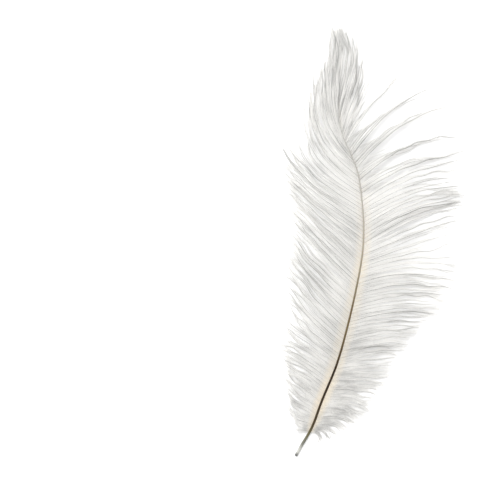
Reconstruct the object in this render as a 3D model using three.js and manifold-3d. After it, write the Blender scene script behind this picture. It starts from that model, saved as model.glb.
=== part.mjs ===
// An ostrich plume lying flat: a tapering, gently curved shaft with soft vanes on both sides.
// The barbs of each vane hang together in pointed locks, all grown from the one shaft.
// Millimetres, +Y towards the tip of the plume, +X towards its wide side, +Z up.

import * as THREE from "three";
import Module from "manifold-3d";

// Shaft: its middle line from the open quill end to the tip.
const shaftPoints = [
  [-54.2, -149.1, 1.2],
  [-50.2, -141.8, 1.35],
  [-42.9, -128.9, 2.4],
  [-35.7, -109.5, 4.0],
  [-26.0, -85.5, 6.0],
  [-18.8, -60.1, 8.0],
  [-12.7, -33.6, 9.4],
  [-8.5, -10.7, 10.2],
  [-7.3, 5.0, 10.4],
  [-7.8, 22.5, 10.0],
  [-10.8, 47.0, 8.8],
  [-16.8, 63.3, 7.4],
  [-22.6, 77.3, 6.2],
  [-25.2, 102.5, 4.4],
];
const quillRadius = 1.05;
const quillRimRadius = 0.78;
const quillShoulderRadius = 0.95;
const quillShoulderLength = 0.5;
const quillOpening = 0.45;
const quillOpeningDepth = 1.6;
const shaftRadiusAtVane = 0.9;
const shaftRadiusAtTip = 0.25;
const shaftTaper = 1.24;
const vaneStart = 0.075;
const grooveDepth = 0.2;
const grooveRunIn = 0.08;
const shaftSides = 12;
const shaftRings = 30;
const firstFullRing = 0.01;

// Vanes: where the outermost barbs end, against the share of the shaft they leave from,
// and the plan angles at which they leave the shaft and arrive at their tips. Angles are
// in degrees above +X on the right and above -X on the left.
const rightVane = [
  { at: 0.075, tip: [-38.0, -140.0], leaves: 10, arrives: -75 },
  { at: 0.085, tip: [-28.0, -136.0], leaves: 10, arrives: -45 },
  { at: 0.1, tip: [-18.5, -131.0], leaves: 10, arrives: -35 },
  { at: 0.12, tip: [-12.5, -125.5], leaves: 10, arrives: -30 },
  { at: 0.16, tip: [-4.5, -117.5], leaves: 6, arrives: -24 },
  { at: 0.2, tip: [3.5, -106.0], leaves: 8, arrives: -14 },
  { at: 0.24, tip: [11.5, -92.5], leaves: 6, arrives: -2 },
  { at: 0.28, tip: [20.5, -77.5], leaves: 11, arrives: -2 },
  { at: 0.32, tip: [27.5, -66.0], leaves: 17, arrives: -3 },
  { at: 0.36, tip: [36.5, -58.5], leaves: 14, arrives: -6 },
  { at: 0.4, tip: [48.0, -46.5], leaves: 16, arrives: -2 },
  { at: 0.44, tip: [54.5, -37.0], leaves: 17, arrives: -10 },
  { at: 0.48, tip: [58.5, -29.5], leaves: 18, arrives: -12 },
  { at: 0.525, tip: [63.5, -12.5], leaves: 20, arrives: -4 },
  { at: 0.545, tip: [56.5, 7.5], leaves: 20, arrives: 16 },
  { at: 0.57, tip: [62.5, 19.0], leaves: 25, arrives: 16 },
  { at: 0.6, tip: [64.5, 27.5], leaves: 32, arrives: 10 },
  { at: 0.64, tip: [65.5, 34.5], leaves: 31, arrives: 2 },
  { at: 0.68, tip: [64.5, 42.5], leaves: 31, arrives: 5 },
  { at: 0.7, tip: [64.5, 51.0], leaves: 32, arrives: 8 },
  { at: 0.72, tip: [65.0, 59.0], leaves: 34, arrives: 11 },
  { at: 0.742, tip: [62.5, 66.5], leaves: 35, arrives: 6 },
  { at: 0.762, tip: [60.0, 71.5], leaves: 38, arrives: 8 },
  { at: 0.795, tip: [53.0, 89.0], leaves: 46, arrives: 22 },
  { at: 0.84, tip: [38.0, 109.0], leaves: 54, arrives: 27 },
  { at: 0.875, tip: [14.0, 112.0], leaves: 62, arrives: 44 },
  { at: 0.895, tip: [-5.5, 135.0], leaves: 72, arrives: 88 },
  { at: 0.93, tip: [-13.5, 143.0], leaves: 78, arrives: 102 },
  { at: 0.96, tip: [-19.5, 149.0], leaves: 84, arrives: 108 },
  { at: 1.0, tip: [-27.0, 152.0], leaves: 92, arrives: 110 },
];
const leftVane = [
  { at: 0.075, tip: [-54.5, -131.0], leaves: 12, arrives: 20 },
  { at: 0.09, tip: [-58.0, -120.0], leaves: 25, arrives: 68 },
  { at: 0.12, tip: [-59.5, -106.0], leaves: 38, arrives: 66 },
  { at: 0.15, tip: [-62.0, -93.5], leaves: 42, arrives: 46 },
  { at: 0.2, tip: [-63.0, -81.5], leaves: 42, arrives: 30 },
  { at: 0.25, tip: [-63.0, -68.5], leaves: 35, arrives: 24 },
  { at: 0.3, tip: [-61.0, -43.0], leaves: 38, arrives: 46 },
  { at: 0.36, tip: [-60.5, -17.0], leaves: 40, arrives: 52 },
  { at: 0.43, tip: [-59.0, 1.0], leaves: 41, arrives: 53 },
  { at: 0.5, tip: [-57.5, 21.5], leaves: 42, arrives: 48 },
  { at: 0.56, tip: [-60.0, 36.0], leaves: 41, arrives: 44 },
  { at: 0.61, tip: [-62.0, 46.5], leaves: 37, arrives: 45 },
  { at: 0.655, tip: [-63.0, 59.5], leaves: 34, arrives: 50 },
  { at: 0.69, tip: [-60.0, 69.0], leaves: 33, arrives: 56 },
  { at: 0.71, tip: [-56.0, 73.0], leaves: 32, arrives: 68 },
  { at: 0.725, tip: [-49.0, 84.0], leaves: 32, arrives: 90 },
  { at: 0.74, tip: [-46.5, 103.0], leaves: 32, arrives: 95 },
  { at: 0.76, tip: [-44.0, 110.5], leaves: 33, arrives: 97 },
  { at: 0.79, tip: [-39.5, 115.0], leaves: 38, arrives: 98 },
  { at: 0.815, tip: [-36.0, 122.0], leaves: 44, arrives: 98 },
  { at: 0.85, tip: [-32.0, 134.5], leaves: 51, arrives: 94 },
  { at: 0.89, tip: [-29.0, 149.0], leaves: 62, arrives: 84 },
  { at: 0.94, tip: [-25.0, 151.5], leaves: 76, arrives: 84 },
  { at: 1.0, tip: [-20.5, 151.0], leaves: 84, arrives: 84 },
];
const locksPerVane = 30;
const lastLock = 0.995;
const lockCrowding = 1.15;
const lockStagger = 0.3;
const lockWidth = 8.6;
const fullWidthSpan = 32;
const rootWidthShare = 0.55;
const fullWidthFrom = 0.15;
const narrowestHalf = 0.25;
const lockThickness = 1.7;
const tipThicknessShare = 0.35;
const lockSteps = 7;
const lockPull = 0.42;
const shortestLock = 0.97;
const longestLock = 1.03;
const crestRise = 0.09;
const crestScatter = 1.5;
const tipHeight = 0.08;
const highestTip = 3.6;

// Below the tip's tuft the right vane is worn: a few thin locks are left past the inner third.
const wornFrom = 0.72;
const wornTo = 0.885;
const wornWidthShare = 0.4;
const wornPast = 0.35;

// Repeatable scatter between 0 and 1, so that no two locks are quite alike.
function scatter(index, salt) {
  const value = Math.sin(index * 12.9898 + salt * 78.233) * 43758.5453;
  return value - Math.floor(value);
}

function mix(a, b, share) {
  return a + (b - a) * share;
}

// The vane row at a share of the shaft, between the two nearest picked rows.
function vaneRow(vane, at) {
  let upper = 1;
  while (upper < vane.length - 1 && vane[upper].at < at) {
    upper += 1;
  }
  const low = vane[upper - 1];
  const high = vane[upper];
  const share = Math.min(1, Math.max(0, (at - low.at) / (high.at - low.at)));
  return {
    x: mix(low.tip[0], high.tip[0], share),
    y: mix(low.tip[1], high.tip[1], share),
    leaves: mix(low.leaves, high.leaves, share),
    arrives: mix(low.arrives, high.arrives, share),
  };
}

// A closed skin over rings of equal length, capped with a fan at each end.
function skin(rings) {
  const sides = rings[0].length;
  const corners = rings.flat();
  const faces = [];
  for (let ring = 0; ring < rings.length - 1; ring += 1) {
    for (let side = 0; side < sides; side += 1) {
      const next = (side + 1) % sides;
      const a = ring * sides + side;
      const b = ring * sides + next;
      const c = a + sides;
      const d = b + sides;
      faces.push(a, d, b, a, c, d);
    }
  }
  const last = (rings.length - 1) * sides;
  for (let side = 1; side < sides - 1; side += 1) {
    faces.push(0, side, side + 1);
    faces.push(last, last + side + 1, last + side);
  }
  return { corners, faces };
}

// The level direction to the right of the way the path runs, and the one square to both.
function acrossPath(direction) {
  const right = new THREE.Vector3().crossVectors(direction, new THREE.Vector3(0, 0, 1)).normalize();
  const up = new THREE.Vector3().crossVectors(right, direction).normalize();
  return { right, up };
}

function shaftSkin(curve) {
  // Share of the length, radius and depth of the groove underneath, ring by ring. The first
  // rings turn in through the opening of the quill.
  const length = curve.getLength();
  const stations = [
    { share: quillOpeningDepth / length, radius: quillOpening * 0.7, groove: 0 },
    { share: 0, radius: quillOpening, groove: 0 },
    { share: 0, radius: quillRimRadius, groove: 0 },
    { share: quillShoulderLength / length, radius: quillShoulderRadius, groove: 0 },
  ];
  for (let ring = 0; ring <= shaftRings; ring += 1) {
    const share = mix(firstFullRing, 1, ring / shaftRings);
    const along = Math.max(0, (share - vaneStart) / (1 - vaneStart));
    const quill = mix(quillRadius, shaftRadiusAtVane, Math.min(1, share / vaneStart));
    const stem = mix(shaftRadiusAtVane, shaftRadiusAtTip, along ** shaftTaper);
    const radius = share < vaneStart ? quill : stem;
    const groove = grooveDepth * Math.min(1, along / grooveRunIn) * (radius / shaftRadiusAtVane);
    stations.push({ share, radius, groove });
  }
  const underneath = (shaftSides * 3) / 4;
  const rings = stations.map(({ share, radius, groove }) => {
    const centre = curve.getPointAt(share);
    const { right, up } = acrossPath(curve.getTangentAt(share));
    const ring = [];
    for (let side = 0; side < shaftSides; side += 1) {
      const turn = (side / shaftSides) * 2 * Math.PI;
      const reach = side === underneath ? radius - groove : radius;
      const point = centre.clone();
      point.addScaledVector(right, Math.cos(turn) * reach);
      point.addScaledVector(up, Math.sin(turn) * reach);
      ring.push(point);
    }
    return ring;
  });
  return skin(rings);
}

// One lock of barbs: a thin pointed blade that leaves the shaft, crests and droops to its tip.
// Locks stand closer together towards the quill. Most tips lie on the surface, a few lifted.
function lockSkin(curve, vane, side, index) {
  const salt = side > 0 ? 1 : 2;
  const stagger = lockStagger * (scatter(index, salt) - 0.5);
  const step = (index + 0.5 + stagger) / locksPerVane;
  const at = mix(vaneStart, lastLock, step ** lockCrowding);
  const row = vaneRow(vane, at);
  const start = curve.getPointAt(at);
  const reach = mix(shortestLock, longestLock, scatter(index, salt + 2));
  const lift = scatter(index, salt + 4) ** 3;
  const worn = side > 0 && at > wornFrom && at < wornTo;
  const end = new THREE.Vector3(row.x, row.y, 0).lerp(new THREE.Vector3(start.x, start.y, 0), 1 - reach);
  const span = Math.hypot(end.x - start.x, end.y - start.y);
  end.z = tipHeight + highestTip * lift;

  const leaves = THREE.MathUtils.degToRad(row.leaves);
  const arrives = THREE.MathUtils.degToRad(row.arrives);
  const outward = new THREE.Vector3(side * Math.cos(leaves), Math.sin(leaves), crestRise / lockPull);
  const inward = new THREE.Vector3(side * Math.cos(arrives), Math.sin(arrives), -lift / 3);
  const first = start.clone().addScaledVector(outward, span * lockPull);
  first.z += crestScatter * (scatter(index, salt + 6) - 0.5);
  const second = end.clone().addScaledVector(inward, -span * lockPull);
  const path = new THREE.CubicBezierCurve3(start, first, second, end);

  const fullHalf = (lockWidth / 2) * Math.min(1, span / fullWidthSpan);
  const rings = [];
  for (let ring = 0; ring <= lockSteps; ring += 1) {
    const share = ring / lockSteps;
    const centre = path.getPoint(share);
    const { right, up } = acrossPath(path.getTangent(share));
    const widening = mix(rootWidthShare, 1, Math.min(1, share / fullWidthFrom));
    const thinning = worn ? mix(1, wornWidthShare, Math.min(1, share / wornPast)) : 1;
    const tapering = Math.sqrt(1 - share ** 3);
    const half = Math.max(narrowestHalf, fullHalf * widening * thinning * tapering);
    const thick = (lockThickness / 2) * mix(1, tipThicknessShare, share);
    rings.push([
      centre.clone().addScaledVector(right, half),
      centre.clone().addScaledVector(up, thick),
      centre.clone().addScaledVector(right, -half),
      centre.clone().addScaledVector(up, -thick),
    ]);
  }
  return skin(rings);
}

const wasm = await Module();
wasm.setup();

function solid({ corners, faces }) {
  const mesh = new wasm.Mesh({
    numProp: 3,
    vertProperties: new Float32Array(corners.flatMap((corner) => corner.toArray())),
    triVerts: new Uint32Array(faces),
  });
  return new wasm.Manifold(mesh);
}

const shaftCurve = new THREE.CatmullRomCurve3(
  shaftPoints.map((point) => new THREE.Vector3(...point)),
  false,
  "catmullrom",
  0.5,
);
shaftCurve.arcLengthDivisions = 800;

const pieces = [solid(shaftSkin(shaftCurve))];
for (let index = 0; index < locksPerVane; index += 1) {
  pieces.push(solid(lockSkin(shaftCurve, rightVane, 1, index)));
  pieces.push(solid(lockSkin(shaftCurve, leftVane, -1, index)));
}
// Joined into one body; whatever dips under the surface it lies on is pressed flat there.
const plume = wasm.Manifold.union(pieces).trimByPlane([0, 0, 1], 0).simplify(0.08);
const plumeMesh = plume.getMesh();

const geometry = new THREE.BufferGeometry();
geometry.setAttribute("position", new THREE.BufferAttribute(plumeMesh.vertProperties, 3));
geometry.setIndex(new THREE.BufferAttribute(plumeMesh.triVerts, 1));
geometry.computeBoundingBox();
const box = geometry.boundingBox;
geometry.translate(-(box.min.x + box.max.x) / 2, -(box.min.y + box.max.y) / 2, -box.min.z);
geometry.computeVertexNormals();

const feather = new THREE.Mesh(
  geometry,
  new THREE.MeshStandardMaterial({ color: 0xefede6, roughness: 0.85, metalness: 0 }),
);
feather.name = "feather";

const object = new THREE.Group();
object.name = "ostrich_feather";
object.add(feather);

export default object;
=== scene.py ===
"""An ostrich plume lying on a pale table.

The shaft is a lofted horn tube. The barbs of both vanes follow guide lines grouped in strands
and locks, and Geometry Nodes give each line its stem and the barbules on both of its sides.
"""

import math
from itertools import product

import bpy
import numpy as np
from bpy.props import FloatProperty, FloatVectorProperty, IntProperty, PointerProperty
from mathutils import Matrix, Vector


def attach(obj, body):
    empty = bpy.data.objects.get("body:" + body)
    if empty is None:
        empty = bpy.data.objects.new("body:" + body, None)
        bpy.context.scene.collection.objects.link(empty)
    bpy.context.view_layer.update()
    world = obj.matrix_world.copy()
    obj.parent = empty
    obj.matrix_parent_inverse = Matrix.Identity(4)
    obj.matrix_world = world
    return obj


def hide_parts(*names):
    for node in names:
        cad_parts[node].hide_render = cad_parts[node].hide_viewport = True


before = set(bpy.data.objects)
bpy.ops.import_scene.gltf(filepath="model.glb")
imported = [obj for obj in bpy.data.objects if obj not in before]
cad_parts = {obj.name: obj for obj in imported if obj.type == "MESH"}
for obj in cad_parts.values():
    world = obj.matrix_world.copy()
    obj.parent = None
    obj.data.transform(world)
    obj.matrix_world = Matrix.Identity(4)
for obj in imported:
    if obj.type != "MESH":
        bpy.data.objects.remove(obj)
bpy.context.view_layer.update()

bl_info = {
    "name": "Ostrich Plume",
    "version": (1, 0, 0),
    "blender": (4, 5, 0),
    "location": "View3D > Sidebar > Plume",
    "description": "Builds a lying ostrich plume with a horn shaft and soft barbs",
    "category": "Add Mesh",
}

MM = 0.001
BAKE_MAP = "OFBake"

# ---- The plume's own lines, in millimetres, as the solid in the frame has them ----

# Where the frame's origin lies among the points below.
OUTLINE_MIDDLE = np.array((0.568, 1.1239, 0.0))

SHAFT_POINTS = np.array([
    (-54.2, -149.1, 1.2),
    (-50.2, -141.8, 1.35),
    (-42.9, -128.9, 2.4),
    (-35.7, -109.5, 4.0),
    (-26.0, -85.5, 6.0),
    (-18.8, -60.1, 8.0),
    (-12.7, -33.6, 9.4),
    (-8.5, -10.7, 10.2),
    (-7.3, 5.0, 10.4),
    (-7.8, 22.5, 10.0),
    (-10.8, 47.0, 8.8),
    (-16.8, 63.3, 7.4),
    (-22.6, 77.3, 6.2),
    (-25.2, 102.5, 4.4),
])

# Share of the shaft, where the outermost barbs from there end, and the plan angles at which
# they leave the shaft and arrive at their tips, in degrees above the sideways direction.
RIGHT_VANE = np.array([
    (0.075, -38.0, -140.0, 10, -75),
    (0.085, -28.0, -136.0, 10, -45),
    (0.1, -18.5, -131.0, 10, -35),
    (0.12, -12.5, -125.5, 10, -30),
    (0.16, -4.5, -117.5, 6, -24),
    (0.2, 3.5, -106.0, 8, -14),
    (0.24, 11.5, -92.5, 6, -2),
    (0.28, 20.5, -77.5, 11, -2),
    (0.32, 27.5, -66.0, 17, -3),
    (0.36, 36.5, -58.5, 14, -6),
    (0.4, 48.0, -46.5, 16, -2),
    (0.44, 54.5, -37.0, 17, -10),
    (0.48, 58.5, -29.5, 18, -12),
    (0.525, 63.5, -12.5, 20, -4),
    (0.545, 56.5, 7.5, 20, 16),
    (0.57, 62.5, 19.0, 25, 16),
    (0.6, 64.5, 27.5, 32, 10),
    (0.64, 65.5, 34.5, 31, 2),
    (0.68, 64.5, 42.5, 31, 5),
    (0.7, 64.5, 51.0, 32, 8),
    (0.72, 65.0, 59.0, 34, 11),
    (0.742, 62.5, 66.5, 35, 6),
    (0.762, 60.0, 71.5, 38, 8),
    (0.795, 53.0, 89.0, 46, 22),
    (0.84, 38.0, 109.0, 54, 27),
    (0.875, 14.0, 112.0, 62, 44),
    (0.895, -5.5, 135.0, 72, 88),
    (0.93, -13.5, 143.0, 78, 102),
    (0.96, -19.5, 149.0, 84, 108),
    (1.0, -27.0, 152.0, 92, 110),
])
LEFT_VANE = np.array([
    (0.075, -54.5, -131.0, 12, 20),
    (0.09, -58.0, -120.0, 25, 68),
    (0.12, -59.5, -106.0, 38, 66),
    (0.15, -62.0, -93.5, 42, 46),
    (0.2, -63.0, -81.5, 42, 30),
    (0.25, -63.0, -68.5, 35, 24),
    (0.3, -61.0, -43.0, 38, 46),
    (0.36, -60.5, -17.0, 40, 52),
    (0.43, -59.0, 1.0, 41, 53),
    (0.5, -57.5, 21.5, 42, 48),
    (0.56, -60.0, 36.0, 41, 44),
    (0.61, -62.0, 46.5, 37, 45),
    (0.655, -63.0, 59.5, 34, 50),
    (0.69, -60.0, 69.0, 33, 56),
    (0.71, -56.0, 73.0, 32, 68),
    (0.725, -49.0, 84.0, 32, 90),
    (0.74, -46.5, 103.0, 32, 95),
    (0.76, -44.0, 110.5, 33, 97),
    (0.79, -39.5, 115.0, 38, 98),
    (0.815, -36.0, 122.0, 44, 98),
    (0.85, -32.0, 134.5, 51, 94),
    (0.89, -29.0, 149.0, 62, 84),
    (0.94, -25.0, 151.5, 76, 84),
    (1.0, -20.5, 151.0, 84, 84),
])


def scatter(index, salt):
    """Repeatable scatter between 0 and 1."""
    value = math.sin(index * 12.9898 + salt * 78.233) * 43758.5453
    return value - math.floor(value)


def mix(a, b, share):
    return a + (b - a) * share


def either_side(spread, draw):
    """Part of a spread, to either side of nothing."""
    return spread * (draw - 0.5)


def smooth_step(low, high, value):
    share = np.clip((value - low) / (high - low), 0.0, 1.0)
    return share * share * (3.0 - 2.0 * share)


def add_object(name, data):
    thing = bpy.data.objects.new(name, data)
    bpy.context.collection.objects.link(thing)
    return thing


class ShaftLine:
    """The middle line of the shaft, read by the share of its length."""

    STEP = 0.002

    def __init__(self, points, steps=300):
        first = 2 * points[0] - points[1]
        last = 2 * points[-1] - points[-2]
        padded = np.vstack((first, points, last))
        stretches = []
        t = np.linspace(0.0, 1.0, steps, endpoint=False)[:, None]
        for i in range(1, len(padded) - 2):
            start, end = padded[i], padded[i + 1]
            leave = (end - padded[i - 1]) / 2
            arrive = (padded[i + 2] - start) / 2
            bend = -3 * start + 3 * end - 2 * leave - arrive
            twist = 2 * start - 2 * end + leave + arrive
            stretches.append(start + leave * t + bend * t**2 + twist * t**3)
        self.points = np.vstack(stretches + [points[-1:]])
        gaps = np.linalg.norm(np.diff(self.points, axis=0), axis=1)
        reached = np.concatenate(([0.0], np.cumsum(gaps)))
        self.length = reached[-1]
        self.shares = reached / self.length

    def at(self, share):
        return np.array([np.interp(share, self.shares, self.points[:, axis]) for axis in range(3)])

    def along(self, share):
        ahead = self.at(min(1.0, share + self.STEP)) - self.at(max(0.0, share - self.STEP))
        return ahead / np.linalg.norm(ahead)


SHAFT_LINE = ShaftLine(SHAFT_POINTS)


# ---- Settings ----

LENGTH = {"min": 0.0, "unit": "LENGTH", "subtype": "DISTANCE", "precision": 5}
COLOUR = {"min": 0.0, "max": 1.0, "subtype": "COLOR"}
SHARE = {"min": 0.0, "max": 1.0, "subtype": "FACTOR"}


class PlumeShaftSettings(bpy.types.PropertyGroup):
    quill_radius: FloatProperty(
        name="Quill Radius",
        description="Radius of the bare quill at its end",
        default=1.05 * MM,
        **LENGTH,
    )
    vane_radius: FloatProperty(
        name="Radius at the Vane",
        description="Radius of the shaft where the lowest barbs grow",
        default=0.9 * MM,
        **LENGTH,
    )
    tip_radius: FloatProperty(
        name="Tip Radius",
        description="Radius of the shaft at its far end",
        default=0.25 * MM,
        **LENGTH,
    )
    opening_radius: FloatProperty(
        name="Opening Radius",
        description="Radius of the opening in the quill's end",
        default=0.45 * MM,
        **LENGTH,
    )
    groove_depth: FloatProperty(
        name="Groove Depth",
        description="Depth of the groove along the underside",
        default=0.2 * MM,
        **LENGTH,
    )
    dark_horn: FloatVectorProperty(
        name="Dark Horn",
        description="Colour along the back of the lower shaft",
        default=(0.018, 0.009, 0.002),
        **COLOUR,
    )
    pale_horn: FloatVectorProperty(
        name="Pale Horn",
        description="Colour of the shaft's sides and underside",
        default=(0.78, 0.66, 0.46),
        **COLOUR,
    )


class PlumeVaneSettings(bpy.types.PropertyGroup):
    strands_per_lock: IntProperty(
        name="Strands per Lock",
        description="How many pointed strands one lock splits into",
        default=3,
        min=1,
    )
    barbs_per_strand: IntProperty(
        name="Barbs per Strand",
        description="How many barbs hang together in one strand",
        default=4,
        min=1,
    )
    downy_clumping: FloatProperty(
        name="Downy Clumping",
        description="How far the tips of a strand's barbs draw together near the quill",
        default=0.45,
        **SHARE,
    )
    clumping: FloatProperty(
        name="Clumping",
        description="How far the tips of a strand's barbs draw together in the upper plume",
        default=0.78,
        **SHARE,
    )
    leader_thickness: FloatProperty(
        name="Leader Thickness",
        description="How much thicker the leading barb of a strand is than the others",
        default=1.8,
        min=1.0,
        subtype="FACTOR",
    )
    barb_thickness: FloatProperty(
        name="Barb Thickness",
        description="Thickness of a barb's stem where it leaves the shaft",
        default=0.2 * MM,
        **LENGTH,
    )
    barbule_length: FloatProperty(
        name="Barbule Length",
        description="Length of the longest barbules",
        default=1.5 * MM,
        **LENGTH,
    )
    barbule_width: FloatProperty(
        name="Barbule Width",
        description="Width of a barbule at its root",
        default=0.09 * MM,
        **LENGTH,
    )
    barbule_spacing: FloatProperty(
        name="Barbule Spacing",
        description="Distance from one barbule to the next along a barb",
        default=0.1 * MM,
        **{**LENGTH, "min": 0.02 * MM},
    )
    barb_white: FloatVectorProperty(
        name="Barb White",
        description="Colour of the barbs",
        default=(0.943, 0.935, 0.915),
        **COLOUR,
    )
    # Painted shade: this grey on the stems and the darker barbs stands in for the shadows between
    # strands.
    painted_shade_grey: FloatVectorProperty(
        name="Barb Grey",
        description="Colour of the barbs' stems and of the darker barbs",
        default=(0.40, 0.40, 0.39),
        **COLOUR,
    )
    root_cream: FloatVectorProperty(
        name="Root Cream",
        description="Colour of the barbs where they leave the shaft",
        default=(0.98, 0.905, 0.78),
        **COLOUR,
    )


class PlumeStageSettings(bpy.types.PropertyGroup):
    picture_side: FloatProperty(
        name="Picture Side",
        description="Width of table that the square picture shows",
        default=0.336,
        **{**LENGTH, "min": 10.0 * MM},
    )
    picture_middle: FloatVectorProperty(
        name="Picture Middle",
        description="Where the picture's middle lies from the middle of the plume",
        default=(-0.0938, 0.00075),
        size=2,
        unit="LENGTH",
        subtype="XYZ",
    )
    camera_height: FloatProperty(
        name="Camera Height",
        description="Height of the camera above the table",
        default=1.6,
        **{**LENGTH, "min": 100.0 * MM},
    )
    table_white: FloatVectorProperty(
        name="Table White",
        description="Colour of the table",
        default=(0.93, 0.93, 0.93),
        **COLOUR,
    )
    surround: FloatProperty(
        name="Surround",
        description="Strength of the even light from all around",
        default=0.78,
        min=0.0,
    )
    lamp_power: FloatProperty(
        name="Lamp Power",
        description="Power of the large soft lamp",
        default=11.0,
        min=0.0,
        unit="POWER",
    )


# ---- Nodes ----


COLUMN_WIDTH = 200
ROW_HEIGHT = 300


def place(tree, kind, feeds=None, **values):
    """Adds a node, sets its plain properties, feeds its inputs and lays it out.

    An input, given by its name or number, takes a plain value or another node's output. The
    node stands to the right of those that feed it.
    """
    node = tree.nodes.new(kind)
    for name, value in values.items():
        setattr(node, name, value)
    column = 0
    for name, value in (feeds or {}).items():
        if isinstance(value, bpy.types.NodeSocket):
            tree.links.new(value, node.inputs[name])
            column = max(column, value.node.location.x + COLUMN_WIDTH)
        else:
            node.inputs[name].default_value = value
    above = sum(other != node and other.location.x == column for other in tree.nodes)
    node.location = (column, -ROW_HEIGHT * above)
    return node


def output(tree, kind, feeds=None, **values):
    """The first output of a new node."""
    return next(s for s in place(tree, kind, feeds, **values).outputs if s.enabled)


def maths(tree, operation, *terms, clamp=False):
    """The result of a sum, product or the like of numbers and outputs."""
    feeds = dict(enumerate(terms))
    return output(tree, "ShaderNodeMath", feeds, operation=operation, use_clamp=clamp)


def ranged(tree, value, source=(0.0, 1.0), target=(0.0, 1.0), kind="LINEAR"):
    """A value taken from one range to another, and held within it."""
    limits = zip(("From Min", "From Max", "To Min", "To Max"), (*source, *target))
    feeds = {"Value": value, **dict(limits)}
    return output(tree, "ShaderNodeMapRange", feeds, interpolation_type=kind)


def parts_of(tree, vector):
    """The three parts of a vector."""
    return place(tree, "ShaderNodeSeparateXYZ", {"Vector": vector}).outputs


def joined(tree, **parts):
    """A vector of the parts that are given."""
    return output(tree, "ShaderNodeCombineXYZ", parts)


def opaque(colour):
    return (*colour, 1.0)


# Numbers of inputs whose names a node gives more than once: the share and the two colours of
# a mix, the limits of a random number, and two whole numbers that are compared.
MIX_INPUTS = (0, 6, 7)
LIMIT_INPUTS = (2, 3)
WHOLE_INPUTS = (2, 3)


def mixed_colour(tree, share, low, high):
    """A colour between two others."""
    feeds = dict(zip(MIX_INPUTS, (share, low, high)))
    return output(tree, "ShaderNodeMix", feeds, data_type="RGBA")


# The noise seldom leaves this range, so the streaks are drawn from it.
NOISE_REACH = (0.3, 0.7)


def lengthwise_streaks():
    """Node group: fine streaks that run along a barb or the shaft, from 0 to 1."""
    name = "LengthwiseStreaks"
    if name in bpy.data.node_groups:
        return bpy.data.node_groups[name]
    tree = bpy.data.node_groups.new(name, "ShaderNodeTree")
    for title, way, kind in (
        ("Map", "INPUT", "NodeSocketVector"),
        ("Across", "INPUT", "NodeSocketFloat"),
        ("Along", "INPUT", "NodeSocketFloat"),
        ("Streaks", "OUTPUT", "NodeSocketFloat"),
    ):
        tree.interface.new_socket(title, in_out=way, socket_type=kind)
    source = place(tree, "NodeGroupInput").outputs
    stretch = joined(tree, X=source["Along"], Y=source["Across"])
    scaled = output(tree, "ShaderNodeVectorMath", {0: source["Map"], 1: stretch}, operation="MULTIPLY")
    noise = output(tree, "ShaderNodeTexNoise", {"Vector": scaled, "Scale": 1.0, "Detail": 2.0})
    place(tree, "NodeGroupOutput", {"Streaks": ranged(tree, noise, NOISE_REACH)})
    return tree


# ---- Materials ----

BARB_MATERIAL = "soft_white_barbs"
# Where, across a barb's band of the map, its stem's colour gives way to its barbules'.
STEM_EDGE = (0.48, 0.56)
# Lightness, from painted shade grey to white: of the stems that don't lead a strand and of the barbules.
STEM_LIGHTNESS = 0.5
BARBULE_LIGHTNESS = 0.88
# How much a barb's own streak and the broad clouds across the vane lighten it; their grey is painted
# shade among strands and locks.
STREAK_GAIN = 0.6
CLOUD_GAIN = 0.8
CLOUDS_PER_METRE = 32.0
# Where the barbs are downy, in metres along the plume, and the painted shade that greys them there and
# beyond.
DOWNY_PLACE = (-0.11, -0.05)
GREYING = (-0.73, -0.64)
# Where the barbs towards the tip begin, up and to the left, and how their streaks of painted shade and
# light differ more.
UPPER_PLACE = (0.07, 0.11)
UPPER_STREAK_GAIN = 0.7
UPPER_GREYING = -0.41
# Share of a barb's length that is cream: of the short barbs down low and of those further up.
CREAM_PLACE = (-0.13, -0.03)
CREAM_SHARES = (0.18, 0.09)
# Where the cream fades along the plume, and how much of it is left beyond.
FADING_PLACE = (-0.025, 0.05)
CREAM_LEFT = 0.12
# Gain and offset with which the clouds make the cream patchy.
CREAM_PATCHES = (1.4, 0.3)
LIGHT_LET_THROUGH = 0.4


def new_material(name):
    material = bpy.data.materials.new(name)
    material.use_nodes = True
    material.node_tree.nodes.clear()
    return material


def own_map(tree):
    """The piece's own map, and its directions along and across a barb or round the shaft."""
    spot = output(tree, "ShaderNodeUVMap", uv_map=BAKE_MAP)
    parts = parts_of(tree, spot)
    return spot, parts["X"], parts["Y"]


def streaked(tree, spot, across, along):
    """Lengthwise streaks with as many across and along the map as given."""
    feeds = {"Map": spot, "Across": across, "Along": along}
    return output(tree, "ShaderNodeGroup", feeds, node_tree=lengthwise_streaks())


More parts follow.
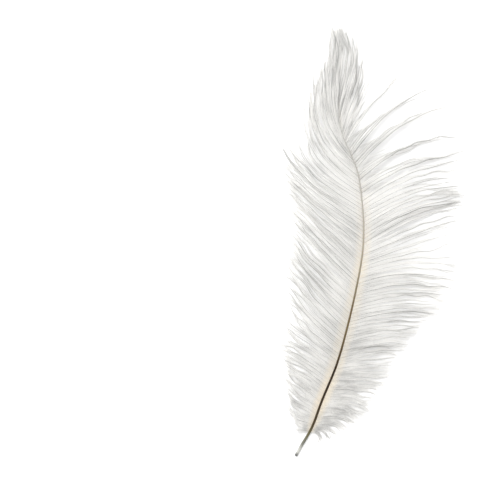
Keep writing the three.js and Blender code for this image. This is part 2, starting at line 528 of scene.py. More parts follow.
def barb_material(settings):
    """Soft white barbs: greyer in streaks and patches of painted shade, cream at their roots, letting
    light through.
    """
    material = new_material(BARB_MATERIAL)
    tree = material.node_tree
    spot, along, across = own_map(tree)
    streaks = streaked(tree, spot, 60.0, 2.5)
    bands = maths(tree, "MULTIPLY", across, barbs_per_piece(settings))
    within = maths(tree, "FRACT", bands)
    downy = ranged(tree, within, STEM_EDGE)
    # The first barb of each strand leads it and has the darkest stem, a painted shadow line between
    # strands.
    number = maths(tree, "FLOOR", bands)
    in_strand = maths(tree, "MODULO", number, settings.barbs_per_strand)
    leads = maths(tree, "LESS_THAN", in_strand, 0.5)
    stem = maths(tree, "MULTIPLY_ADD", leads, -STEM_LIGHTNESS, STEM_LIGHTNESS)
    lightness = ranged(tree, downy, target=(stem, BARBULE_LIGHTNESS))

    where = place(tree, "ShaderNodeTexCoord").outputs["Object"]
    place_parts = parts_of(tree, where)
    feeds = {"Vector": where, "Scale": CLOUDS_PER_METRE, "Detail": 1.0}
    shade_and_cream_clouds = output(tree, "ShaderNodeTexNoise", feeds)
    # Painted shade: streaks, broad clouds and an offset that is greyer low down pull the barbs towards
    # grey.
    low_shade_offset = ranged(tree, place_parts["Y"], DOWNY_PLACE, GREYING)
    streak_shade = maths(tree, "MULTIPLY_ADD", streaks, STREAK_GAIN, low_shade_offset)
    painted_shade_mottle = maths(tree, "MULTIPLY_ADD", shade_and_cream_clouds, CLOUD_GAIN, streak_shade)
    # Towards the tip, on its left, the barbs differ more and are greyer than the rest: stronger painted
    # shade and light, for the gaps and shadows between strands.
    up_left = maths(tree, "SUBTRACT", place_parts["Y"], place_parts["X"])
    upper = ranged(tree, up_left, UPPER_PLACE, kind="SMOOTHSTEP")
    upper_streak_shade = maths(tree, "MULTIPLY_ADD", streaks, UPPER_STREAK_GAIN, UPPER_GREYING)
    total_shade = maths(tree, "MULTIPLY_ADD", upper, upper_streak_shade, painted_shade_mottle)
    whiter = maths(tree, "ADD", lightness, total_shade, clamp=True)
    toned = mixed_colour(tree, whiter, opaque(settings.painted_shade_grey), opaque(settings.barb_white))

    # The cream reaches equally far from the shaft, so further along the short barbs down low.
    cream_end = ranged(tree, place_parts["Y"], CREAM_PLACE, CREAM_SHARES)
    root = ranged(tree, along, (0.0, cream_end), (1.0, 0.0))
    lower = ranged(tree, place_parts["Y"], FADING_PLACE, (1.0, CREAM_LEFT), "SMOOTHSTEP")
    paled = maths(tree, "MULTIPLY", root, lower)
    patches = maths(tree, "MULTIPLY_ADD", shade_and_cream_clouds, *CREAM_PATCHES)
    creamy = maths(tree, "MULTIPLY", paled, patches, clamp=True)
    tinted = mixed_colour(tree, creamy, toned, opaque(settings.root_cream))

    feeds = {
        "Base Color": tinted,
        "Roughness": 0.7,
        "Specular IOR Level": 0.25,
        "Sheen Weight": 0.25,
        "Sheen Roughness": 0.4,
    }
    shader = output(tree, "ShaderNodeBsdfPrincipled", feeds)
    glow = output(tree, "ShaderNodeBsdfTranslucent", {"Color": tinted})
    feeds = {"Fac": LIGHT_LET_THROUGH, 1: shader, 2: glow}
    blend = output(tree, "ShaderNodeMixShader", feeds)
    place(tree, "ShaderNodeOutputMaterial", {"Surface": blend})
    return material


# Colour of the shaft's back against the share of its length: the quill's opening, the pale
# bare quill, the olive run below the vane, the dark lower shaft and its fading upper half.
# None stands for the setting Dark Horn.
BACK_COLOURS = [
    (0.0, (0.10, 0.10, 0.10)),
    (0.008, (0.16, 0.16, 0.15)),
    (0.015, (0.52, 0.52, 0.48)),
    (0.025, (0.46, 0.46, 0.42)),
    (0.04, (0.17, 0.17, 0.14)),
    (0.07, (0.105, 0.094, 0.045)),
    (0.1, (0.045, 0.03, 0.012)),
    (0.2, None),
    (0.26, None),
    (0.31, (0.07, 0.046, 0.019)),
    (0.37, (0.125, 0.092, 0.044)),
    (0.43, (0.115, 0.08, 0.042)),
    (0.49, (0.19, 0.163, 0.108)),
    (0.6, (0.31, 0.28, 0.225)),
    (0.72, (0.345, 0.33, 0.295)),
    (0.83, (0.36, 0.35, 0.325)),
    (0.89, (0.47, 0.465, 0.44)),
    (0.95, (0.72, 0.715, 0.69)),
]
# How far from the back's middle, in turns, the dark back gives way to the pale sides, and
# where along the shaft those sides begin.
BACK_EDGE = (0.17, 0.25)
SIDES_BEGIN = (0.06, 0.1)
# How far the colours run into each other, as a share of the shaft.
RAGGEDNESS = 0.006


def horn_material(settings):
    """Horn: dark along the back of the lower shaft, cream at its sides, pale at both ends."""
    material = new_material("shaft_horn")
    tree = material.node_tree
    spot, along, round_share = own_map(tree)
    streaks = streaked(tree, spot, 24.0, 40.0)
    ragged = maths(tree, "MULTIPLY_ADD", streaks, RAGGEDNESS, along)
    back = place(tree, "ShaderNodeValToRGB", {"Fac": ragged})
    stops = back.color_ramp.elements
    while len(stops) < len(BACK_COLOURS):
        stops.new(0.5)
    for stop, (share, colour) in zip(stops, BACK_COLOURS):
        stop.position = share
        stop.color = opaque(colour or settings.dark_horn)

    # The map's Y runs once round the shaft, from the groove underneath to the groove again.
    centred = maths(tree, "SUBTRACT", round_share, 0.5)
    sideways = maths(tree, "ABSOLUTE", centred)
    side = ranged(tree, sideways, BACK_EDGE, kind="SMOOTHSTEP")
    vaned = ranged(tree, along, SIDES_BEGIN, kind="SMOOTHSTEP")
    sided = maths(tree, "MULTIPLY", side, vaned)
    edged = mixed_colour(tree, sided, back.outputs["Color"], opaque(settings.pale_horn))
    shade = ranged(tree, streaks, target=(0.82, 1.12))
    grained = output(tree, "ShaderNodeVectorMath", {0: edged, "Scale": shade}, operation="SCALE")
    gloss = ranged(tree, streaks, target=(0.32, 0.5))
    relief = output(tree, "ShaderNodeBump", {"Strength": 0.25, "Distance": 0.04 * MM, "Height": streaks})

    feeds = {"Base Color": grained, "Roughness": gloss, "Specular IOR Level": 0.25, "Normal": relief}
    shader = output(tree, "ShaderNodeBsdfPrincipled", feeds)
    place(tree, "ShaderNodeOutputMaterial", {"Surface": shader})
    return material


def table_material(settings):
    """Plain pale table."""
    material = new_material("pale_table")
    tree = material.node_tree
    feeds = {"Base Color": opaque(settings.table_white), "Roughness": 0.9, "Specular IOR Level": 0.1}
    shader = output(tree, "ShaderNodeBsdfPrincipled", feeds)
    place(tree, "ShaderNodeOutputMaterial", {"Surface": shader})
    return material


# ---- Shaft ----

SHAFT_SIDES = 24
SHAFT_RINGS = 220
FIRST_RING = 0.005
VANE_START = 0.075
# How the shaft thins towards its tip: above 1 it stays stout for longer.
SHAFT_TAPER = 1.24
# Half width of the groove, as an angle round the shaft, and how soon it deepens in the vane.
GROOVE_WIDTH = 0.42
GROOVE_ONSET = 12.0
# The open end of the quill, from deep inside outwards: depth in millimetres, and radius as a
# share of the opening's and then of the quill's.
HOLLOW_RINGS = ((5.0, 0.25), (4.0, 0.8), (1.5, 1.1), (0.15, 1.0), (0.0, 1.12))
RIM_RINGS = ((0.0, 0.72), (0.12, 0.82), (0.45, 0.89))


def shaft_radius(settings, share):
    """The shaft's radius, from the quill through the vane to the tip."""
    if share < VANE_START:
        return mix(settings.quill_radius, settings.vane_radius, share / VANE_START)
    along = (share - VANE_START) / (1.0 - VANE_START)
    return mix(settings.vane_radius, settings.tip_radius, along**SHAFT_TAPER)


def shaft_stations(settings):
    """Share, radius and groove of each ring. The first ones turn in through the opening."""
    stations = [
        (depth / SHAFT_LINE.length, radius * size, 0.0)
        for rings, radius in ((HOLLOW_RINGS, settings.opening_radius), (RIM_RINGS, settings.quill_radius))
        for depth, size in rings
    ]
    for share in np.linspace(FIRST_RING, 1.0, SHAFT_RINGS):
        radius = shaft_radius(settings, share)
        vaned = min(1.0, max(0.0, (share - VANE_START) * GROOVE_ONSET))
        groove = settings.groove_depth * vaned * radius / settings.vane_radius
        stations.append((share, radius, groove))
    return stations


def shaft_ring(share, radius, groove):
    """One ring of the shaft, from the underside round over the back."""
    centre = (SHAFT_LINE.at(share) - OUTLINE_MIDDLE) * MM
    ahead = SHAFT_LINE.along(share)
    right = np.cross(ahead, (0.0, 0.0, 1.0))
    right /= np.linalg.norm(right)
    up = np.cross(right, ahead)
    ring = []
    for side in range(SHAFT_SIDES):
        turn = 2.0 * math.pi * side / SHAFT_SIDES
        from_below = min(turn, 2.0 * math.pi - turn)
        reach = radius - groove * math.exp(-((from_below / GROOVE_WIDTH) ** 2))
        ring.append(centre + right * math.sin(turn) * reach - up * math.cos(turn) * reach)
    return ring


def build_shaft(settings):
    stations = shaft_stations(settings)
    corners = [point for station in stations for point in shaft_ring(*station)]
    faces = []
    places = []
    for ring in range(len(stations) - 1):
        low, high = stations[ring][0], stations[ring + 1][0]
        for side in range(SHAFT_SIDES):
            following = (side + 1) % SHAFT_SIDES
            a = ring * SHAFT_SIDES + side
            b = ring * SHAFT_SIDES + following
            faces.append((a, b, b + SHAFT_SIDES, a + SHAFT_SIDES))
            near, far = side / SHAFT_SIDES, (side + 1) / SHAFT_SIDES
            places += [(low, near), (low, far), (high, far), (high, near)]
    last = (len(stations) - 1) * SHAFT_SIDES
    faces.append(tuple(reversed(range(SHAFT_SIDES))))
    faces.append(tuple(last + side for side in range(SHAFT_SIDES)))
    places += [(0.0, 0.5)] * SHAFT_SIDES + [(1.0, 0.5)] * SHAFT_SIDES
    mesh = bpy.data.meshes.new("shaft")
    mesh.from_pydata(corners, [], faces)
    layer = mesh.uv_layers.new(name=BAKE_MAP)
    layer.data.foreach_set("uv", np.array(places, dtype=np.float32).ravel())
    mesh.polygons.foreach_set("use_smooth", [True] * len(mesh.polygons))
    mesh.materials.append(horn_material(settings))
    return add_object("shaft", mesh)


# ---- Lines of the barbs, in millimetres ----

LAST_LOCK = 0.995
LOCKS_PER_VANE = 30
# Above 1, the locks stand closer together towards the quill.
LOCK_CROWDING = 1.15
# How unevenly the locks' tips and the barbs' roots are spaced, as a share of their spacing.
LOCK_STAGGER = 0.3
ROOT_SCATTER = 0.9
# How far aside of the shaft's middle line the lowest and the highest barbs grow.
LOWEST_ROOT_ASIDE = 0.72
HIGHEST_ROOT_ASIDE = 0.2
# How far along a barb's span its two inner steering points lie.
STEERING_REACH = 0.42
# How far a barb's four steering points are drawn to its strand's, from its root to its tip.
DRAWN_TOGETHER = np.array((0.0, 0.5, 0.85, 1.0))[:, None]
# Shares of the shaft between which the barbs change from downy to firm, and their strands
# from loose to drawn together.
DOWNY_STRETCH = (0.12, 0.35)
LOOSE_STRETCH = (0.15, 0.5)
CLUMPING_SPREAD = (0.6, 1.15)
BROKEN_CLUMPING = 0.3

# Lengths against the row of tips: of locks, of their strands and of the barbs within them.
LOCK_LENGTHS = (0.97, 1.03)
STRAND_LENGTHS = (0.96, 1.03)
BARB_LENGTHS = (0.91, 1.0)
BARB_LENGTH_POWER = 0.6
STRAY_LENGTHS = (0.8, 1.03)
BROKEN_LENGTHS = (0.15, 0.5)
LONG_STRAND = 1.05
FRAYED_STRAND_LENGTHS = (0.68, 1.0)
FRAYED_BARB_LENGTHS = (0.72, 1.0)

# Share of the barbs that stray from their strand, and the full spread, in degrees, of the
# angles at which strays, other barbs and whole strands leave the shaft and reach their tips.
STRAY_BARBS = 0.28
STRAY_TURNS = (18.0, 44.0)
BARB_TURNS = (5.0, 6.0)
STRAND_TURNS = (0.0, 14.0)

# Heights: the rise beside the shaft against the span and its spread by lock, strand and barb,
# then the tips, of which few lie high and point gently down, and the least height anywhere.
CREST_RISE = 0.09
LOCK_CREST = 1.5
STRAND_CREST = 2.2
BARB_CREST = 0.9
TIP_HEIGHT = 0.08
HIGHEST_TIP = 3.6
LIFT_POWER = 3
TIP_GENTLENESS = 3.0
TIP_SCATTER = 1.1
LOWEST_BARB = 0.14

# The strands' soft sideways waves and the curl at the very tip.
WAVELENGTHS = (16.0, 30.0)
WAVE_HEIGHTS = (0.15, 1.1)
WAVE_GROWTH = 1.2
PHASE_SCATTER = 0.12
CURL = 3.6
CURL_STRETCH = (0.7, 1.0)

# The right vane's locks, below the tuft at the tip, that are worn to a few long strands.
WORN_LOCKS = range(22, 27)
# How stout and how soft the barbs of whole, broken, long and frayed strands are.
WEAR_STOUTNESS = {"whole": 1.0, "broken": 0.7, "long": 1.9, "frayed": 1.9}
WEAR_SOFTNESS = {"whole": 1.0, "broken": 0.75, "long": 1.35, "frayed": 1.35}
LAST_STRAND_STOUTNESS = 0.4
SIDE_STOUTNESS = {1: 1.15, -1: 1.03}
STOUTNESS_SPREAD = (0.6, 1.45)
STOUTNESS_SALT = 72
DOWNY_STOUTNESS = 0.6
DOWNY_SOFTNESS = 1.25
POINTS_PER_BARB = 24

# One salt for each side and each trait, so that no two of them go hand in hand.
SIDE_SALTS = {1: 1, -1: 2}
LOCK_SALTS = {"lock place": 0, "lock length": 2, "lock lift": 4, "lock crest": 6}
STRAND_SALTS = {
    "strand length": 32,
    "strand arrival": 44,
    "wavelength": 50,
    "strand phase": 52,
    "wave height": 56,
    "strand crest": 68,
    "strand fraying": 74,
}
BARB_SALTS = {
    "straying": 30,
    "length": 34,
    "stray length": 36,
    "stray leaving": 38,
    "stray arrival": 40,
    "leaving": 42,
    "tip height": 46,
    "crest": 48,
    "phase": 54,
    "curl": 58,
    "broken length": 62,
    "arrival": 64,
    "clumping": 66,
    "root": 70,
    "fraying": 76,
}


def share_of_step(step):
    """Share of the shaft at a step through the vane; steps crowd towards the quill."""
    return mix(VANE_START, LAST_LOCK, min(1.0, max(0.0, step)) ** LOCK_CROWDING)


def vane_row(vane, share):
    """Tip place and the two plan angles at a share of the shaft."""
    x, y, leaves, arrives = [np.interp(share, vane[:, 0], vane[:, column]) for column in range(1, 5)]
    return np.array((x, y)), math.radians(leaves), math.radians(arrives)


def bezier(points, shares):
    start, first, second, end = points
    s = shares[:, None]
    r = 1.0 - s
    return r**3 * start + 3 * r**2 * s * first + 3 * r * s**2 * second + s**3 * end


def steering_points(vane, side, share, reach, lift, crest, turns):
    """The four points that steer a barb leaving the shaft at a share of its length."""
    tip, leaves, arrives = vane_row(vane, share)
    leaves += turns[0]
    arrives += turns[1]
    ahead = SHAFT_LINE.along(share)
    start = SHAFT_LINE.at(share)
    aside = mix(LOWEST_ROOT_ASIDE, HIGHEST_ROOT_ASIDE, share)
    start[:2] += side * aside * np.array((ahead[1], -ahead[0]))
    end = start.copy()
    end[:2] = mix(start[:2], tip, reach)
    span = float(np.hypot(*(end - start)[:2]))
    end[2] = TIP_HEIGHT + HIGHEST_TIP * lift
    outward = np.array((side * math.cos(leaves), math.sin(leaves), CREST_RISE / STEERING_REACH))
    inward = np.array((side * math.cos(arrives), math.sin(arrives), -lift / TIP_GENTLENESS))
    first = start + outward * span * STEERING_REACH
    first[2] += crest
    second = end - inward * span * STEERING_REACH
    return np.array((start, first, second, end))


def wear_of(side, lock, strand, settings):
    """Whether a strand is whole, or is broken, long or frayed in the worn locks."""
    if side < 0 or lock not in WORN_LOCKS:
        return "whole"
    middle = settings.strands_per_lock // 2
    if strand == middle:
        return "long"
    return "broken" if strand < middle else "frayed"


def draws_of(side, lock, strand_number, number):
    """The scatter, between 0 and 1, of each trait of a barb, its strand and its lock."""
    return {
        trait: scatter(index, SIDE_SALTS[side] + salt)
        for index, salts in ((lock, LOCK_SALTS), (strand_number, STRAND_SALTS), (number, BARB_SALTS))
        for trait, salt in salts.items()
    }


def barb_reach(draws, wear, leads, stray):
    """How far a barb reaches towards the row of tips."""
    reach = mix(*LOCK_LENGTHS, draws["lock length"]) * mix(*STRAND_LENGTHS, draws["strand length"])
    if not leads:
        reach *= mix(*BARB_LENGTHS, draws["length"] ** BARB_LENGTH_POWER)
    if wear == "broken":
        reach *= mix(*BROKEN_LENGTHS, draws["broken length"])
    elif wear == "long":
        reach *= LONG_STRAND
    elif wear == "frayed":
        reach *= mix(*FRAYED_STRAND_LENGTHS, draws["strand fraying"])
        reach *= mix(*FRAYED_BARB_LENGTHS, draws["fraying"])
    if stray:
        reach *= mix(*STRAY_LENGTHS, draws["stray length"])
    return reach


def turns_of(spreads, leaving, arrival):
    """How far the angles at both ends of a barb are turned, in radians."""
    return np.radians((either_side(spreads[0], leaving), either_side(spreads[1], arrival)))


def barb_line(vane, side, lock, strand, barb, settings):
    """The middle line of one barb, from the shaft to its tip."""
    strands = settings.strands_per_lock
    barbs = settings.barbs_per_strand
    strand_number = lock * strands + strand
    draws = draws_of(side, lock, strand_number, strand_number * barbs + barb)
    wear = wear_of(side, lock, strand, settings)
    lock_step = (lock + 0.5 + either_side(LOCK_STAGGER, draws["lock place"])) / LOCKS_PER_VANE
    strand_step = lock_step + ((strand + 0.5) / strands - 0.5) / LOCKS_PER_VANE
    # The roots stand evenly along the shaft; only the tips gather into strands and locks.
    place_in_strand = (barb + 0.5 + either_side(ROOT_SCATTER, draws["root"])) / barbs
    share = share_of_step((lock + (strand + place_in_strand) / strands) / LOCKS_PER_VANE)

    stray = barb > 0 and draws["straying"] < STRAY_BARBS
    reach = barb_reach(draws, wear, barb == 0, stray)
    if stray:
        clumping = 0.0
        turns = turns_of(STRAY_TURNS, draws["stray leaving"], draws["stray arrival"])
    else:
        clumping = mix(settings.downy_clumping, settings.clumping, smooth_step(*LOOSE_STRETCH, share))
        clumping *= mix(*CLUMPING_SPREAD, draws["clumping"])
        clumping *= BROKEN_CLUMPING if wear == "broken" else 1.0
        turns = turns_of(BARB_TURNS, draws["leaving"], draws["arrival"])
    strand_turns = turns_of(STRAND_TURNS, 0.5, draws["strand arrival"])

    lift = draws["lock lift"] ** LIFT_POWER
    crest = either_side(LOCK_CREST, draws["lock crest"])
    crest += either_side(STRAND_CREST, draws["strand crest"])
    own_crest = crest + either_side(BARB_CREST, draws["crest"])
    own = steering_points(vane, side, share, reach, lift, own_crest, turns)
    shared = steering_points(vane, side, share_of_step(strand_step), reach, lift, crest, strand_turns)
    points = mix(own, shared, DRAWN_TOGETHER * clumping)
    points[3, 2] += TIP_SCATTER * draws["tip height"]
    return waved(points, draws)


def waved(points, draws):
    """The line that four points steer, with its strand's waves and its own curled tip."""
    span = float(np.hypot(*(points[3] - points[0])[:2]))
    shares = np.linspace(0.0, 1.0, POINTS_PER_BARB)
    line = bezier(points, shares)
    ahead = np.gradient(line, axis=0)
    ahead /= np.linalg.norm(ahead, axis=1)[:, None]
    sideways = np.stack((-ahead[:, 1], ahead[:, 0], np.zeros(POINTS_PER_BARB)), axis=1)
    wavelength = mix(*WAVELENGTHS, draws["wavelength"])
    phase = draws["strand phase"] + PHASE_SCATTER * draws["phase"]
    height = mix(*WAVE_HEIGHTS, draws["wave height"]) * shares**WAVE_GROWTH
    wave = height * np.sin(2.0 * math.pi * (shares * span / wavelength + phase))
    curl = either_side(CURL, draws["curl"]) * smooth_step(*CURL_STRETCH, shares) ** 2
    line += sideways * (wave + curl)[:, None]
    line[:, 2] = np.maximum(line[:, 2], LOWEST_BARB)
    return line


# ---- Barbs ----

STRETCHES = ("lower", "middle", "upper")
LOCKS_PER_STRETCH = LOCKS_PER_VANE // len(STRETCHES)
BARB_SIZES = ("Barb Thickness", "Barbule Length", "Barbule Width", "Barbule Spacing")
NODE_VALUES = ("along", "band", "taper", "fluff", "across", "beside")
MAP_WIDTH_PER_METRE = 18.0
MAP_MARGIN = 0.01
# How much of a barb's band of the map its stem and its barbules take up, and where they
# begin, from the middle of the band.
STEM_BAND = (0.6, -0.45)
BARBULE_BAND = (0.32, 0.12)
LEAST_HEIGHT = 0.01 * MM
# How a barbule rolls round its stem and leans forward, in radians, and how its length differs.
BARBULE_ROLL = (-0.75, 0.75)
BARBULE_LEAN = (-1.05, -0.45)
BARBULE_LENGTHS = (0.6, 1.1)
BARBULE_SEEDS = {1: 3, -1: 7}


def barbs_per_piece(settings):
    return LOCKS_PER_STRETCH * settings.strands_per_lock * settings.barbs_per_strand


def stem_taper(shares):
    """Thickness along a barb: slowly thinner, and fine at the very tip."""
    return (1.0 - 0.3 * shares) * (1.0 - 0.75 * smooth_step(0.88, 1.0, shares))


def barbule_growth(shares):
    """Length of the barbules along a barb: short at its root and shorter to its tip."""
    return mix(0.35, 1.0, smooth_step(0.0, 0.07, shares)) * (1.0 - 0.38 * shares)


def barb_build(side, lock, strand, barb, number, settings):
    """How stout and how soft one barb is."""
    wear = wear_of(side, lock, strand, settings)
    firm = smooth_step(*DOWNY_STRETCH, share_of_step((lock + 0.5) / LOCKS_PER_VANE))
    stout = mix(*STOUTNESS_SPREAD, scatter(number, side + STOUTNESS_SALT)) * SIDE_STOUTNESS[side]
    stout *= mix(DOWNY_STOUTNESS, 1.0, firm) * WEAR_STOUTNESS[wear]
    if barb == 0 and wear != "broken":
        stout *= settings.leader_thickness
    if lock == WORN_LOCKS[-1] and wear in ("long", "frayed"):
        stout *= LAST_STRAND_STOUTNESS
    return stout, WEAR_SOFTNESS[wear] * mix(DOWNY_SOFTNESS, 1.0, firm)


def barb_guides(name, vane, side, locks, settings):
    """A mesh of guide lines, one for each barb, with the values that its nodes read."""
    strands = range(settings.strands_per_lock)
    members = list(product(locks, strands, range(settings.barbs_per_strand)))
    count = len(members)
    lines = [barb_line(vane, side, *member, settings) for member in members]
    builds = [barb_build(side, *member, number, settings) for number, member in enumerate(members)]
    stoutness, softness = np.repeat(builds, POINTS_PER_BARB, axis=0).T
    points = np.vstack(lines) - OUTLINE_MIDDLE
    starts = np.arange(count)[:, None] * POINTS_PER_BARB + np.arange(POINTS_PER_BARB - 1)
    edges = np.stack((starts.ravel(), starts.ravel() + 1), axis=1)
    mesh = bpy.data.meshes.new(name)
    mesh.from_pydata((points * MM).tolist(), edges.tolist(), [])
    shares = np.tile(np.linspace(0.0, 1.0, POINTS_PER_BARB), count)
    for title, values in (
        ("along", mix(MAP_MARGIN, 1.0 - MAP_MARGIN, shares)),
        ("band", np.repeat((np.arange(count) + 0.5) / count, POINTS_PER_BARB)),
        ("taper", stoutness * stem_taper(shares)),
        ("fluff", softness * barbule_growth(shares)),
    ):
        layer = mesh.attributes.new(title, "FLOAT", "POINT")
        layer.data.foreach_set("value", values.astype(np.float32))
    return mesh, count


def named(tree, title):
    """A stored value, read by its name."""
    return output(tree, "GeometryNodeInputNamedAttribute", {"Name": title}, data_type="FLOAT")


def stored(tree, geometry, title, value, data_type="FLOAT", domain="POINT"):
    """Geometry with a value stored under a name."""
    kind = "GeometryNodeStoreNamedAttribute"
    feeds = {"Geometry": geometry, "Name": title, "Value": value}
    return output(tree, kind, feeds, data_type=data_type, domain=domain)


def switched(tree, kind, switch, false, true):
    """One of two values, by a switch."""
    feeds = {"Switch": switch, "False": false, "True": true}
    return output(tree, "GeometryNodeSwitch", feeds, input_type=kind)


def random_between(tree, limits, seed):
    """A number of its own for each barbule, between two limits."""
    feeds = {"Seed": seed, **dict(zip(LIMIT_INPUTS, limits))}
    return output(tree, "FunctionNodeRandomValue", feeds, data_type="FLOAT")


def index_is(tree, number):
    """Whether a corner has a certain number."""
    feeds = dict(zip(WHOLE_INPUTS, (output(tree, "GeometryNodeInputIndex"), number)))
    return output(tree, "FunctionNodeCompare", feeds, data_type="INT", operation="EQUAL")


def barbule_blade(tree, source):
    """One barbule: a thin blade one metre long, as wide at its root as the input says."""
    blade = output(tree, "GeometryNodeMeshCircle", {"Vertices": 3, "Radius": 1.0}, fill_type="NGON")
    half = maths(tree, "MULTIPLY", source["Barbule Width"], 0.5)
    other_half = maths(tree, "MULTIPLY", half, -1.0)
    root = joined(tree, Z=switched(tree, "FLOAT", index_is(tree, 1), other_half, half))
    corner = switched(tree, "VECTOR", index_is(tree, 0), root, (1.0, 0.0, 0.0))
    shaped = output(tree, "GeometryNodeSetPosition", {"Geometry": blade, "Position": corner})
    parts = parts_of(tree, output(tree, "GeometryNodeInputPosition"))
    band = maths(tree, "MULTIPLY_ADD", parts["X"], *BARBULE_BAND)
    across = stored(tree, shaped, "across", band)
    return stored(tree, across, "beside", parts["Z"])


def rotated(tree, rotation, **turn):
    """A rotation, turned once more about its own axes."""
    angles = joined(tree, **turn)
    turning = output(tree, "FunctionNodeEulerToRotation", {"Euler": angles})
    feeds = {"Rotation": rotation, "Rotate By": turning}
    return output(tree, "FunctionNodeRotateRotation", feeds, rotation_space="LOCAL")


def barbules_on(tree, source, curve, blade, side):
    """Barbules on one side of every barb, each with its own lean, roll and length."""
    seed = BARBULE_SEEDS[side]
    tangent = output(tree, "GeometryNodeInputTangent")
    feeds = {0: tangent, 1: (0.0, 0.0, side)}
    across = output(tree, "ShaderNodeVectorMath", feeds, operation="CROSS_PRODUCT")
    feeds = {"Primary Axis": tangent, "Secondary Axis": across}
    facing = output(tree, "FunctionNodeAxesToRotation", feeds, primary_axis="Z", secondary_axis="X")
    roll = random_between(tree, BARBULE_ROLL, seed)
    lean = random_between(tree, BARBULE_LEAN, seed + 1)
    leaned = rotated(tree, rotated(tree, facing, Z=roll), Y=lean)
    own_length = random_between(tree, BARBULE_LENGTHS, seed + 2)
    varied = maths(tree, "MULTIPLY", own_length, named(tree, "fluff"))
    length = maths(tree, "MULTIPLY", varied, source["Barbule Length"])
    scale = joined(tree, X=length, Y=1.0, Z=1.0)
    feeds = {"Points": curve, "Instance": blade, "Rotation": leaned, "Scale": scale}
    return output(tree, "GeometryNodeInstanceOnPoints", feeds)


def stems_on(tree, source, curves):
    """A tapering stem, three-sided and closed at both ends, on every guide line."""
    radius = maths(tree, "MULTIPLY", source["Barb Thickness"], 0.5)
    ring = output(tree, "GeometryNodeCurvePrimitiveCircle", {"Resolution": 3, "Radius": radius})
    band = maths(tree, "MULTIPLY_ADD", output(tree, "GeometryNodeSplineParameter"), *STEM_BAND)
    profile = stored(tree, ring, "across", band)
    scale = named(tree, "taper")
    feeds = {"Curve": curves, "Profile Curve": profile, "Scale": scale, "Fill Caps": True}
    return output(tree, "GeometryNodeCurveToMesh", feeds)


def barb_tree():
    """Geometry Nodes: a tapering stem on each guide line and barbules on both its sides."""
    name = "BarbStemsAndBarbules"
    if name in bpy.data.node_groups:
        return bpy.data.node_groups[name]
    tree = bpy.data.node_groups.new(name, "GeometryNodeTree")
    face = tree.interface
    face.new_socket("Guides", in_out="INPUT", socket_type="NodeSocketGeometry")
    for title in (*BARB_SIZES, "Band Height"):
        face.new_socket(title, in_out="INPUT", socket_type="NodeSocketFloat")
    face.new_socket("Material", in_out="INPUT", socket_type="NodeSocketMaterial")
    face.new_socket("Barbs", in_out="OUTPUT", socket_type="NodeSocketGeometry")
    source = place(tree, "NodeGroupInput").outputs
    curves = output(tree, "GeometryNodeMeshToCurve", {"Mesh": source["Guides"]})
    stems = stems_on(tree, source, curves)
    feeds = {"Curve": curves, "Length": source["Barbule Spacing"]}
    spaced = output(tree, "GeometryNodeResampleCurve", feeds, mode="LENGTH")
    blade = barbule_blade(tree, source)
    right = barbules_on(tree, source, spaced, blade, 1)
    left = barbules_on(tree, source, spaced, blade, -1)
    together = place(tree, "GeometryNodeJoinGeometry")
    for part in (left, right, stems):
        tree.links.new(part, together.inputs["Geometry"])
    real = output(tree, "GeometryNodeRealizeInstances", {"Geometry": together.outputs["Geometry"]})
    # Nothing dips under the surface that the plume lies on.
    parts = parts_of(tree, output(tree, "GeometryNodeInputPosition"))
    above = maths(tree, "MAXIMUM", parts["Z"], LEAST_HEIGHT)
    raised = joined(tree, X=parts["X"], Y=parts["Y"], Z=above)
    resting = output(tree, "GeometryNodeSetPosition", {"Geometry": real, "Position": raised})

    across = named(tree, "across")
    band = maths(tree, "MULTIPLY_ADD", across, source["Band Height"], named(tree, "band"))
    beside = named(tree, "beside")
    along = maths(tree, "MULTIPLY_ADD", beside, MAP_WIDTH_PER_METRE, named(tree, "along"))
    spot = joined(tree, X=along, Y=band)
    mapped = stored(tree, resting, BAKE_MAP, spot, "FLOAT2", "CORNER")
    feeds = {"Geometry": mapped, "Material": source["Material"]}
    painted = output(tree, "GeometryNodeSetMaterial", feeds)
    place(tree, "NodeGroupOutput", {"Barbs": painted})
    return tree


def build_barbs(name, vane, side, locks, settings, material):
    """One stretch of a vane as a plain mesh."""
    guides, count = barb_guides(name + "_guides", vane, side, locks, settings)
    holder = add_object(name + "_guides", guides)
    modifier = holder.modifiers.new("barbs", "NODES")
    modifier.node_group = barb_tree()
    values = {title: getattr(settings, title.lower().replace(" ", "_")) for title in BARB_SIZES}
    values.update({"Band Height": 1.0 / count, "Material": material})
    sockets = {item.name: item.identifier for item in modifier.node_group.interface.items_tree}
    for title, value in values.items():
        modifier[sockets[title]] = value
    depsgraph = bpy.context.evaluated_depsgraph_get()
    mesh = bpy.data.meshes.new_from_object(holder.evaluated_get(depsgraph), depsgraph=depsgraph)
    mesh.name = name
    bpy.data.objects.remove(holder)
    bpy.data.meshes.remove(guides)
    if not mesh.polygons:
        raise RuntimeError(f"{name}: the barb tree made no faces")
    for layer in [a.name for a in mesh.attributes if a.name in NODE_VALUES]:
        mesh.attributes.remove(mesh.attributes[layer])
    return add_object(name, mesh)


def build_vane(title, vane, side, settings):
    material = bpy.data.materials.get(BARB_MATERIAL) or barb_material(settings)
    for number, stretch in enumerate(STRETCHES):
        locks = range(number * LOCKS_PER_STRETCH, (number + 1) * LOCKS_PER_STRETCH)
        piece = build_barbs(f"{title}_{stretch}", vane, side, locks, settings, material)
        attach(piece, "root")
        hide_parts("feather")


# ---- Stage ----

TABLE_REACH = 1.5
LAMP_PLACE = Vector((-0.25, 0.38, 0.95))
LAMP_WIDTH = 0.8
SENSOR = 36.0
NEAREST_SEEN = 0.01


def build_table(settings):
    mesh = bpy.data.meshes.new("table")
    corners = [(x * TABLE_REACH, y * TABLE_REACH, 0.0) for x, y in ((-1, -1), (1, -1), (1, 1), (-1, 1))]
    mesh.from_pydata(corners, [], [(0, 1, 2, 3)])
    mesh.materials.append(table_material(settings))
    add_object("table", mesh)


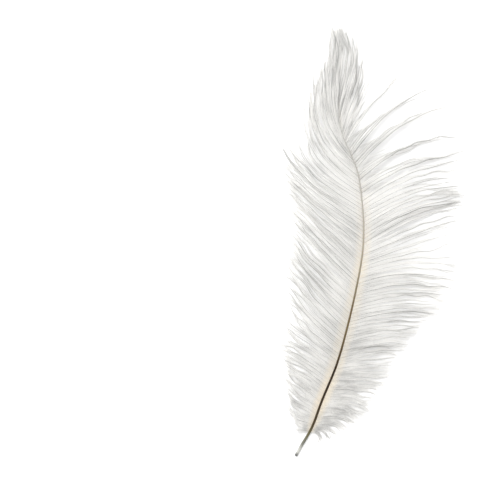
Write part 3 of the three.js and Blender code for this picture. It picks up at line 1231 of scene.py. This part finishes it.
def build_lights(settings):
    world = bpy.data.worlds.new("even_white")
    world.use_nodes = True
    background = world.node_tree.nodes["Background"]
    background.inputs["Color"].default_value = (1.0, 1.0, 1.0, 1.0)
    background.inputs["Strength"].default_value = settings.surround
    bpy.context.scene.world = world
    lamp = bpy.data.lights.new("soft_lamp", "AREA")
    lamp.shape = "DISK"
    lamp.size = LAMP_WIDTH
    lamp.energy = settings.lamp_power
    holder = add_object("soft_lamp", lamp)
    holder.location = LAMP_PLACE
    holder.rotation_euler = (-LAMP_PLACE).to_track_quat("-Z", "Y").to_euler()


def build_camera(settings):
    camera = bpy.data.cameras.new("camera")
    camera.sensor_width = SENSOR
    camera.lens = SENSOR * settings.camera_height / settings.picture_side
    camera.clip_start = NEAREST_SEEN
    holder = add_object("camera", camera)
    holder.location = (*settings.picture_middle, settings.camera_height)
    bpy.context.scene.camera = holder


# ---- Operators and panel ----


class PLUME_OT_build_shaft(bpy.types.Operator):
    """Build the horn shaft with its open quill"""

    bl_idname = "plume.build_shaft"
    bl_label = "Build Shaft"

    def execute(self, context):
        shaft = build_shaft(context.scene.plume_shaft)
        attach(shaft, "root")
        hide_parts("feather")
        return {"FINISHED"}


class PLUME_OT_build_right_vane(bpy.types.Operator):
    """Build the wide vane on the right of the shaft"""

    bl_idname = "plume.build_right_vane"
    bl_label = "Build Right Vane"

    def execute(self, context):
        build_vane("right_vane", RIGHT_VANE, 1, context.scene.plume_vanes)
        return {"FINISHED"}


class PLUME_OT_build_left_vane(bpy.types.Operator):
    """Build the narrower vane on the left of the shaft"""

    bl_idname = "plume.build_left_vane"
    bl_label = "Build Left Vane"

    def execute(self, context):
        build_vane("left_vane", LEFT_VANE, -1, context.scene.plume_vanes)
        return {"FINISHED"}


class PLUME_OT_build_stage(bpy.types.Operator):
    """Build the pale table, the soft light and the camera"""

    bl_idname = "plume.build_stage"
    bl_label = "Build Stage"

    def execute(self, context):
        settings = context.scene.plume_stage
        build_table(settings)
        build_lights(settings)
        build_camera(settings)
        context.scene.view_settings.view_transform = "Standard"
        return {"FINISHED"}


class PLUME_PT_sidebar(bpy.types.Panel):
    """Lists the plume's settings and the operators that build it"""

    bl_idname = "PLUME_PT_sidebar"
    bl_label = "Ostrich Plume"
    bl_space_type = "VIEW_3D"
    bl_region_type = "UI"
    bl_category = "Plume"

    def draw(self, context):
        for settings, operators in (
            (context.scene.plume_shaft, ("plume.build_shaft",)),
            (context.scene.plume_vanes, ("plume.build_right_vane", "plume.build_left_vane")),
            (context.scene.plume_stage, ("plume.build_stage",)),
        ):
            box = self.layout.box()
            for name in settings.__annotations__:
                box.prop(settings, name)
            for operator in operators:
                box.operator(operator)


CLASSES = (
    PlumeShaftSettings,
    PlumeVaneSettings,
    PlumeStageSettings,
    PLUME_OT_build_shaft,
    PLUME_OT_build_right_vane,
    PLUME_OT_build_left_vane,
    PLUME_OT_build_stage,
    PLUME_PT_sidebar,
)


def register():
    for cls in CLASSES:
        bpy.utils.register_class(cls)
    bpy.types.Scene.plume_shaft = PointerProperty(type=PlumeShaftSettings)
    bpy.types.Scene.plume_vanes = PointerProperty(type=PlumeVaneSettings)
    bpy.types.Scene.plume_stage = PointerProperty(type=PlumeStageSettings)


def unregister():
    del bpy.types.Scene.plume_stage
    del bpy.types.Scene.plume_vanes
    del bpy.types.Scene.plume_shaft
    for cls in reversed(CLASSES):
        bpy.utils.unregister_class(cls)


def main():
    register()
    bpy.ops.plume.build_stage()
    bpy.ops.plume.build_shaft()
    bpy.ops.plume.build_right_vane()
    bpy.ops.plume.build_left_vane()


if __name__ == "__main__":
    main()
